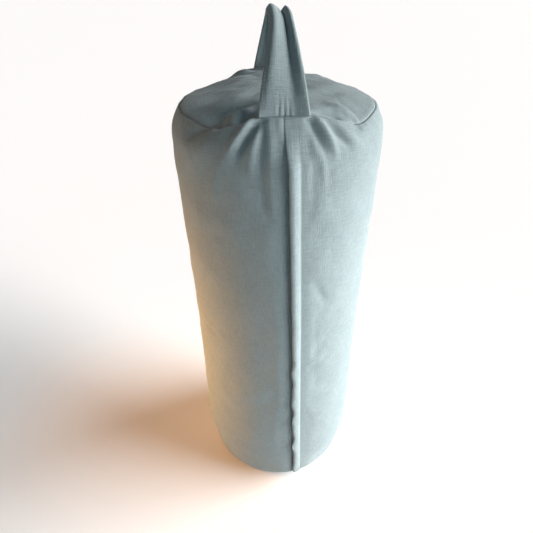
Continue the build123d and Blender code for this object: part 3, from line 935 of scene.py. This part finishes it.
def rod(line, radius, first, second):
    """Rings of points round a line, from two directions across it at each point."""
    turn = (np.arange(ROD_SIDES) * tau / ROD_SIDES)[None, :, None]
    across = np.cos(turn) * first[:, None] + np.sin(turn) * second[:, None]
    return (line[:, None] + radius[:, None, None] * across).reshape(-1, 3)


def rod_row(name, rods, uv, material):
    """One mesh of many short rods, each of ROD_RINGS rings with ROD_SIDES points."""
    one = loft_faces(ROD_RINGS, ROD_SIDES)
    starts = [number * ROD_RINGS * ROD_SIDES for number in range(len(rods))]
    faces = [[start + n for n in face] for start in starts for face in one]
    return add_piece(name, np.concatenate(rods), faces, uv, material)


def stitches(name, points, normals, material, pitch=0.0030, length=0.0019, thick=0.00032, sink=0.0001):
    """A row of short thread stitches along a line of points, each a small capsule with sunk ends."""
    run = run_along(points)
    t = np.linspace(0, 1, ROD_RINGS)
    bow = np.sin(pi * t)
    rods, uv = [], []
    for start in np.arange(pitch * 0.3, run[-1] - length, pitch):
        where = start + t * length
        line = read_at(where, run, points)
        out = unit(read_at(where, run, normals))
        ahead = unit(line[-1] - line[0])
        line = line + out * (thick * 1.3 * bow - sink)[:, None]
        rods.append(rod(line, thick * (0.35 + 0.65 * bow**0.5), out, np.cross(ahead, out)))
        uv.append(np.repeat(where[:, None], ROD_SIDES, 1).reshape(-1, 1) * [1, 0])
    return rod_row(name, rods, np.concatenate(uv), material)


# ---- Flap over the zip ----
# The outline across the flap in mm, (across the zip, out from the cloth): over the top from the sewn side
# to the free fold, and back underneath.
FLAP_OUTLINE = [
    (9.6, -0.30), (9.2, 0.15), (8.6, 0.55), (8.0, 1.10), (7.4, 1.9), (6.2, 3.1), (4.4, 4.3), (2.4, 5.2),
    (0.4, 5.9), (-1.6, 6.2), (-3.2, 6.1), (-4.2, 5.7), (-4.6, 5.1), (-4.3, 4.6), (-3.4, 4.8), (-2.0, 5.15),
    (-0.4, 5.1), (1.4, 4.75), (3.2, 4.0), (4.8, 3.0), (6.2, 1.9), (7.2, 0.8), (8.2, 0.0), (9.0, -0.30),
]
FLAP_SHIFT_HIGH, FLAP_SHIFT_LOW = 1.9, -0.6
FLAP_RISE_START, FLAP_RISE_END, FLAP_LOW_RISE = 0.010, 0.034, 0.050
FLAP_LOW_WIDTH = 0.82
FLAP_BEND = 0.090
TOPSTITCH_ASIDE = 0.0088
# How high the flap's top end stands over the cloth, by how far a place is across the zip.
FLAP_HUMP = [(0, 0.0059), (0.0024, 0.0052), (0.0044, 0.0043), (0.0062, 0.0031), (0.0086, 0.0007)]
FLAP_FLAT = 0.08


def smooth_loop(outline, count):
    """Evenly spread points along a smooth closed curve through an outline."""
    outline = np.array(outline, float)
    t = np.linspace(0, len(outline), 12 * len(outline), endpoint=False)
    i = np.floor(t).astype(int)
    weights = cubic_weights(t - i)
    curve = sum(weights[a][:, None] * outline[(i + a - 1) % len(outline)] for a in range(4))
    closed = np.vstack([curve, curve[:1]])
    run = run_along(closed)
    return read_at(np.linspace(0, run[-1], count, endpoint=False), run, closed)


def distance_at(height):
    """The distance down the meridian of a height on the tube or its shoulders."""
    rows = slice(RIM_TOP_ROW, RIM_LOW_ROW + 1)
    return np.interp(-np.asarray(height), -ROWS[rows, 1], DISTANCE[rows])


def flap_wave(distance):
    """How the free fold wanders: nearly straight at the top, wavy lower down."""
    below = distance - RIM_TOP_S
    lower = smooth((below - 0.20) / 0.12) * smooth((0.56 - below) / 0.08)
    wide = np.sin(below * tau / 0.052 + 0.6) + 0.6 * np.sin(below * tau / 0.031 + 2.0)
    return (0.25 + lower) * wide


def flap_rise(distance, low_end):
    """How far the flap stands up, from 0 where it is sewn flat at its ends to 1."""
    below = distance - RIM_TOP_S
    top = smooth((below - FLAP_RISE_START) / (FLAP_RISE_END - FLAP_RISE_START))
    return top * smooth((low_end - distance) / FLAP_LOW_RISE)


def flap_width(distance):
    """The flap's width at a distance as a share of its width at the top. It narrows towards the foot."""
    return 1 - (1 - FLAP_LOW_WIDTH) * smooth((distance - RIM_TOP_S - 0.16) / 0.30)


def flap_sections(distances, low_end):
    """Closed sections of the flap across the zip at these distances, pressed flat towards its sewn ends."""
    loop = smooth_loop(FLAP_OUTLINE, 56)
    sections, uv = [], []
    for distance in distances:
        rise = flap_rise(distance, low_end)
        tall = FLAP_FLAT + (1 - FLAP_FLAT) * rise
        free = smooth((8.0 - loop[:, 0]) / 11.0)
        lower = smooth((distance - RIM_TOP_S - 0.22) / 0.18)
        shift = FLAP_SHIFT_HIGH * (1 - lower) + FLAP_SHIFT_LOW * lower
        u = loop[:, 0] * flap_width(distance) + free * rise * (0.75 * flap_wave(distance) + shift)
        n = np.where(loop[:, 1] > 0, loop[:, 1] * tall, loop[:, 1]) - 0.18 * (1 - rise)
        n = n + free * rise * (0.20 * flap_wave(distance + 0.013) + 0.15 * np.sin(distance * tau / 0.09))
        point = cloth_points(np.full(len(u), distance), beside_zip(distance, u * 1e-3))
        normal = skin.normals(distance, beside_zip(distance, 0.0))
        sections.append(point + normal * n[:, None] * 1e-3)
        uv.append(np.stack([u * 1e-3 + 0.003, np.full(len(u), distance)], 1))
    return np.array(sections), np.array(uv)


def add_flap(material, thread):
    """The flap in two lengths that meet in the middle. Each is sewn down at its outer end."""
    top_end, low_end = RIM_TOP_S + 0.0015, float(distance_at(flap_end_low.z + 0.005))
    middle = float(distance_at((flap_low.z + flap_high.z) / 2))
    for name, stretch, end_node, start_z, end_z in (
        ("zip_flap_upper", (top_end, middle), "flap_end_top", flap_high.z, flap_high.z - FLAP_BEND),
        ("zip_flap_lower", (middle, low_end), "flap_end_bottom", flap_low.z, flap_low.z + FLAP_BEND),
    ):
        sections, uv = flap_sections(spaced([(stretch[0], 0.0022), (stretch[1], 1)]), low_end)
        piece = lofted(name, sections, uv, material)
        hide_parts("zip_flap", end_node)
        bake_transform(piece)
    line = spaced([(top_end + 0.011, 0.004), (low_end - 0.002, 1)])
    angle = beside_zip(line, TOPSTITCH_ASIDE * flap_width(line))
    normal = skin.normals(line, angle)
    row = stitches("flap_topstitch", cloth_points(line, angle) + normal * 0.00048, normal, thread)
    settle(row, "sewing_thread", "flap_stitching")


def add_bar_tack(thread):
    """The stitches that hold the flap's top end: a row across it, and a row down beside its free edge."""
    start = RIM_TOP_S + FLAP_RISE_START
    across = np.linspace(0.0000, 0.0086, 12)
    down = np.linspace(start + 0.0005, start + 0.0125, 12)
    for number, (distance, aside) in enumerate((
        (np.full(12, start), across), (down, np.full(12, 0.0003)), (np.full(8, start + 0.0130), across[:8]),
    )):
        angle = beside_zip(distance, aside)
        normal = skin.normals(distance, angle)
        rise = flap_rise(distance, DISTANCE[-1])
        lift = np.interp(aside, *np.array(FLAP_HUMP).T) * (FLAP_FLAT + (1 - FLAP_FLAT) * rise)
        points = cloth_points(distance, angle) + normal * (lift - 0.0002)[:, None]
        row = stitches(f"flap_tack_row_{number + 1}", points, normal, thread, pitch=0.0024, length=0.0014)
        settle(row, "sewing_thread", "flap_bar_tack")


# ---- Zip coils ----
# One loop of the coil, as (mm across, mm out from the tape, share of the pitch along).
COIL_LOOP = np.array([
    (2.2, -0.9, -0.30), (1.6, -0.2, -0.20), (1.0, 0.4, -0.05), (0.85, 0.1, 0.10), (1.3, -0.6, 0.25),
    (2.2, -0.9, 0.45),
])
COIL_PITCH, COIL_WIRE = 0.0015, 0.00042


def add_coil(name, side, material):
    """One side of the zip: a row of nylon loops, each a bent rod with its head towards the middle."""
    aside, out, along = COIL_LOOP.T
    u, n, w = aside * side * 1e-3, out * 1e-3, along * COIL_PITCH
    rods = []
    for height in np.arange(coil_low.z + 0.002, coil_high.z - 0.002, COIL_PITCH):
        centre = ZIP_ORIGIN + ZIP_DIRECTION * ((height - ZIP_MID_Z) / ZIP_DIRECTION.z)
        line = np.array(centre) + np.outer(u, ZIP_ACROSS) + np.outer(n, ZIP_OUT) + np.outer(w, ZIP_DIRECTION)
        ahead = unit(np.gradient(line, axis=0))
        first = unit(np.cross(ahead, np.array(ZIP_DIRECTION)))
        rods.append(rod(line, np.full(ROD_RINGS, COIL_WIRE), first, np.cross(ahead, first)))
    uv = np.zeros((len(rods) * ROD_RINGS * ROD_SIDES, 2))
    settle(rod_row(f"zip_coil_loops_{name}", rods, uv, material), "zip_nylon", f"zip_coil_{name}")


# ---- Carrying strap ----
# Along one leg: the share of the way to the crest, and the strap's width and the depth of its fold in mm.
STRAP_SHAPE = [
    (0.0, 42.6, 0.8), (0.10, 40.8, 2.6), (0.24, 35.8, 5.4), (0.40, 29.0, 7.8), (0.54, 23.0, 8.6),
    (0.68, 19.0, 9.0), (1.0, 18.5, 9.0),
]
STRAP_THICK = 0.0022
STRAP_ROWS, STRAP_COLUMNS = 150, 61
STRAP_EDGE_STEPS = 3
# The small gathers at the strap's feet: (place across from -1 to 1, half-width, height).
STRAP_GATHERS = [
    (-0.34, 0.09, 0.8), (-0.22, 0.07, -0.8), (-0.12, 0.08, 0.9), (0.0, 0.07, -1.0), (0.11, 0.08, 0.7),
    (0.21, 0.07, -0.8), (0.32, 0.10, 0.8),
]


def strap_line():
    """The middle line of the strap in (y, z), from the front seam over the crest to the back seam."""
    front = skin.points(RIM_TOP_S, 0.0)
    back = skin.points(RIM_TOP_S, pi)
    crest = grip_high.z - 0.005
    ends = [(front[1] + 0.0008, front[2] - 0.0005), (back[1] - 0.0008, back[2] - 0.0005)]
    half = [(-0.0795, 0.578), (-0.0665, 0.5975), (-0.0525, 0.6160)]
    half += [(-0.0350, crest - 0.0035), (-0.0130, crest)]
    return np.array([ends[0], *half, *[(-y, z) for y, z in reversed(half)], ends[1]])


def open_curve(points, count):
    """Evenly spread points along a smooth open curve through the given ones, and the curve's length."""
    ends = np.vstack([2 * points[0] - points[1], points, 2 * points[-1] - points[-2]])
    t = np.linspace(0, len(points) - 1, 20 * len(points))
    i = np.minimum(np.floor(t).astype(int), len(points) - 2)
    weights = cubic_weights(t - i)
    curve = sum(weights[a][:, None] * ends[i + a] for a in range(4))
    run = run_along(curve)
    return read_at(np.linspace(0, run[-1], count), run, curve), run[-1]


def strap_fold(q, bunch, share):
    """How far the strap's face stands out at q across its width, from -1 to 1."""
    ridge = 0.95 * bell(q + 0.60, 0.52) - 0.74 * bell(q - 0.40, 0.26) + 0.45 * bell(q - 0.92, 0.24)
    edges = -0.45 * smooth((-q - 0.70) / 0.30)
    gathers = sum(tall * bell(q - place, wide) for place, wide, tall in STRAP_GATHERS)
    return bunch * (ridge + edges) + 0.0005 * gathers * bell(share, 0.10)


def strap_sizes(share):
    """The strap's width and the depth of its fold, evened out along it."""
    table = np.array(STRAP_SHAPE)
    kernel = np.hanning(13) / np.hanning(13).sum()
    width = np.interp(share, table[:, 0], table[:, 1]) * 1e-3
    depth = np.interp(share, table[:, 0], table[:, 2]) * 1e-3 * 0.5
    return [np.convolve(np.pad(values, 6, "edge"), kernel, "valid") for values in (width, depth)]


def strap_grid():
    """The strap's outer face as a grid: places, outward normals, and cloth coordinates."""
    line, length = open_curve(strap_line(), STRAP_ROWS)
    run = np.linspace(-1, 1, STRAP_ROWS)
    share = 1 - np.abs(run)
    width, depth = strap_sizes(share)
    ahead = unit(np.gradient(line, axis=0))
    out = np.stack([-ahead[:, 1], ahead[:, 0]], 1)
    q = np.linspace(-1, 1, STRAP_COLUMNS)
    places = np.zeros((STRAP_ROWS, STRAP_COLUMNS, 3))
    uv = np.zeros((STRAP_ROWS, STRAP_COLUMNS, 2))
    for i in range(STRAP_ROWS):
        side = 1.0 if run[i] < 0 else 0.85
        fold = strap_fold(q, depth[i], share[i]) * side
        aside = q * width[i] / 2
        sagitta = 1 - np.sqrt(np.maximum(0, 1 - (aside / RIM_R) ** 2))
        rim_curve = bell(share[i], 0.05) * (RIM_R - 0.007) * sagitta
        places[i, :, 0] = aside + 0.0012 * sin(pi * share[i])
        places[i, :, 1] = line[i, 0] + fold * out[i, 0] + np.sign(run[i]) * rim_curve
        places[i, :, 2] = line[i, 1] + fold * out[i, 1]
        uv[i] = np.stack([q * STRAP_W / 2, np.full(STRAP_COLUMNS, i * length / STRAP_ROWS)], 1)
    normal = np.cross(np.gradient(places, axis=1), np.gradient(places, axis=0))
    return places, unit(normal), uv


def strap_section(places, normal):
    """One closed section of the strap: its outer face, a round edge, its inner face, and the other edge."""
    half = STRAP_THICK / 2
    turns = [pi * (k + 1) / (STRAP_EDGE_STEPS + 1) for k in range(STRAP_EDGE_STEPS)]
    edges = []
    for end, beside, flip in ((-1, -2, 1), (0, 1, -1)):
        outward = unit(places[end] - places[beside])
        edges.append([places[end] + half * (cos(a) * flip * normal[end] + sin(a) * outward) for a in turns])
    return np.concatenate([places + normal * half, edges[0], (places - normal * half)[::-1], edges[1]])


def strap_section_uv(uv):
    """The cloth coordinates of one section, in the order of its points."""
    u = uv[:, 0]
    right, left = np.full(STRAP_EDGE_STEPS, u[-1]), np.full(STRAP_EDGE_STEPS, u[0])
    wrap = np.concatenate([u, right, u[::-1] + 0.0003, left])
    return np.stack([wrap, np.full(len(wrap), uv[0, 1])], 1)


def add_strap(material, thread):
    """The strap as one doubled strip with rounded edges, and a row of stitches near each edge."""
    places, normal, uv = strap_grid()
    sections = np.array([strap_section(*row) for row in zip(places, normal)])
    piece = lofted("carrying_strap", sections, np.array([strap_section_uv(row) for row in uv]), material)
    finish_strap(piece, "cover_cloth", "strap_leg_front", "strap_leg_back", "strap_grip")
    face = places + normal * (STRAP_THICK / 2)
    edge = {"pitch": 0.0032, "length": 0.0022, "thick": 0.00026}
    for name, column in (("left", 3), ("right", -4)):
        line, out = face[4:-4, column], normal[4:-4, column]
        finish_strap(stitches(f"strap_edge_stitching_{name}", line, out, thread, **edge), "sewing_thread")
    foot = {"pitch": 0.0024, "length": 0.0015, "thick": 0.00022, "sink": 0.0002}
    for name, row in (("front", 2), ("back", -3)):
        line, out = face[row, 4:-4], normal[row, 4:-4]
        piece = stitches(f"strap_foot_stitching_{name}", line, out, thread, **foot)
        settle(piece, "sewing_thread", f"strap_tack_{name}")


def finish_strap(piece, slot, *nodes):
    """A piece of the strap, from its sewn feet over its grip, takes the place of these nodes, its place baked
    into its points.
    """
    if nodes:
        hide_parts(*nodes)
    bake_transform(piece)


# ---- Seam threads ----
def add_rim_stitching(name, seam, thread, node):
    """The thread of a rim seam, just showing in the bottom of the seam's dip."""
    angle = np.linspace(0, tau, 400)
    distance = np.full(400, seam)
    normal = skin.normals(distance, angle)
    line = cloth_points(distance, angle, 0.0003)
    row = stitches(name, line, normal, thread, pitch=0.0027, length=0.0020, thick=0.00022)
    settle(row, "sewing_thread", node)


def settle(piece, slot, *nodes):
    """A finished piece takes the place of these nodes and stays with the cover."""
    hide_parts(*nodes)
    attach(piece, "cover")


# ---- Making it all ----
add_camera()
add_studio()
add_floor()
add_flag()

linen = woven("linen", LINEN_LIGHT, LINEN_DARK, pitch=0.00075, slub=0.50, sheen=0.12)
cotton = woven("casing_cotton", COTTON_LIGHT, COTTON_DARK, pitch=0.0005, slub=0.2, sheen=0.15)
fibre = woven("loose_fibre", FILL_LIGHT, FILL_DARK, pitch=0.002, slub=0.6, sheen=0.4, bump=0.0008)
thread = twisted_thread()
tape = ribbed_tape()
nylon = moulded_nylon()
zinc = painted_zinc()

shape = start_shape()
shape = simulate(shape, pattern_shape())
skin = Skin(keep_to_zip(shape))

for name, tube_node, inset, thick, material, slot, fine in (
    ("cover", "cover_tube_panel", 0.0, COVER_THICK, linen, "cover_cloth", 1.0),
    ("inner_casing", "inner_casing_tube", CASING_INSET, CASING_THICK, cotton, "casing_cotton", 2.6),
):
    tube = tube_piece(f"{name}_tube_cloth", inset, thick, material, fine, slotted=name == "cover")
    settle(tube, slot, tube_node)
    for end in ("top", "bottom"):
        disc = end_piece(f"{name}_{end}_cloth", inset, thick, material, fine, bottom=end == "bottom")
        settle(disc, slot, f"{name}_{end}_disc")

core = tube_piece("filling_fibre", FILLING_INSET, FILLING_THICK, fibre, 4.0)
settle(core, "loose_fill", "filling")

add_flap(linen, thread)
add_bar_tack(thread)
add_coil("left", -1, nylon)
add_coil("right", 1, nylon)
add_strap(linen, thread)
add_rim_stitching("rim_stitching_top", RIM_TOP_S, thread, "rim_thread_top")
add_rim_stitching("rim_stitching_bottom", RIM_LOW_S, thread, "rim_thread_bottom")

for node, material in (
    ("zip_tape_left", tape), ("zip_tape_right", tape), ("zip_slider", zinc), ("zip_pull_tab", zinc),
    ("zip_stop_upper", zinc), ("zip_stops_lower", zinc), ("inner_casing_closing_stitches", thread),
):
    frame["nodes"][node].data.materials.clear()
    frame["nodes"][node].data.materials.append(material)
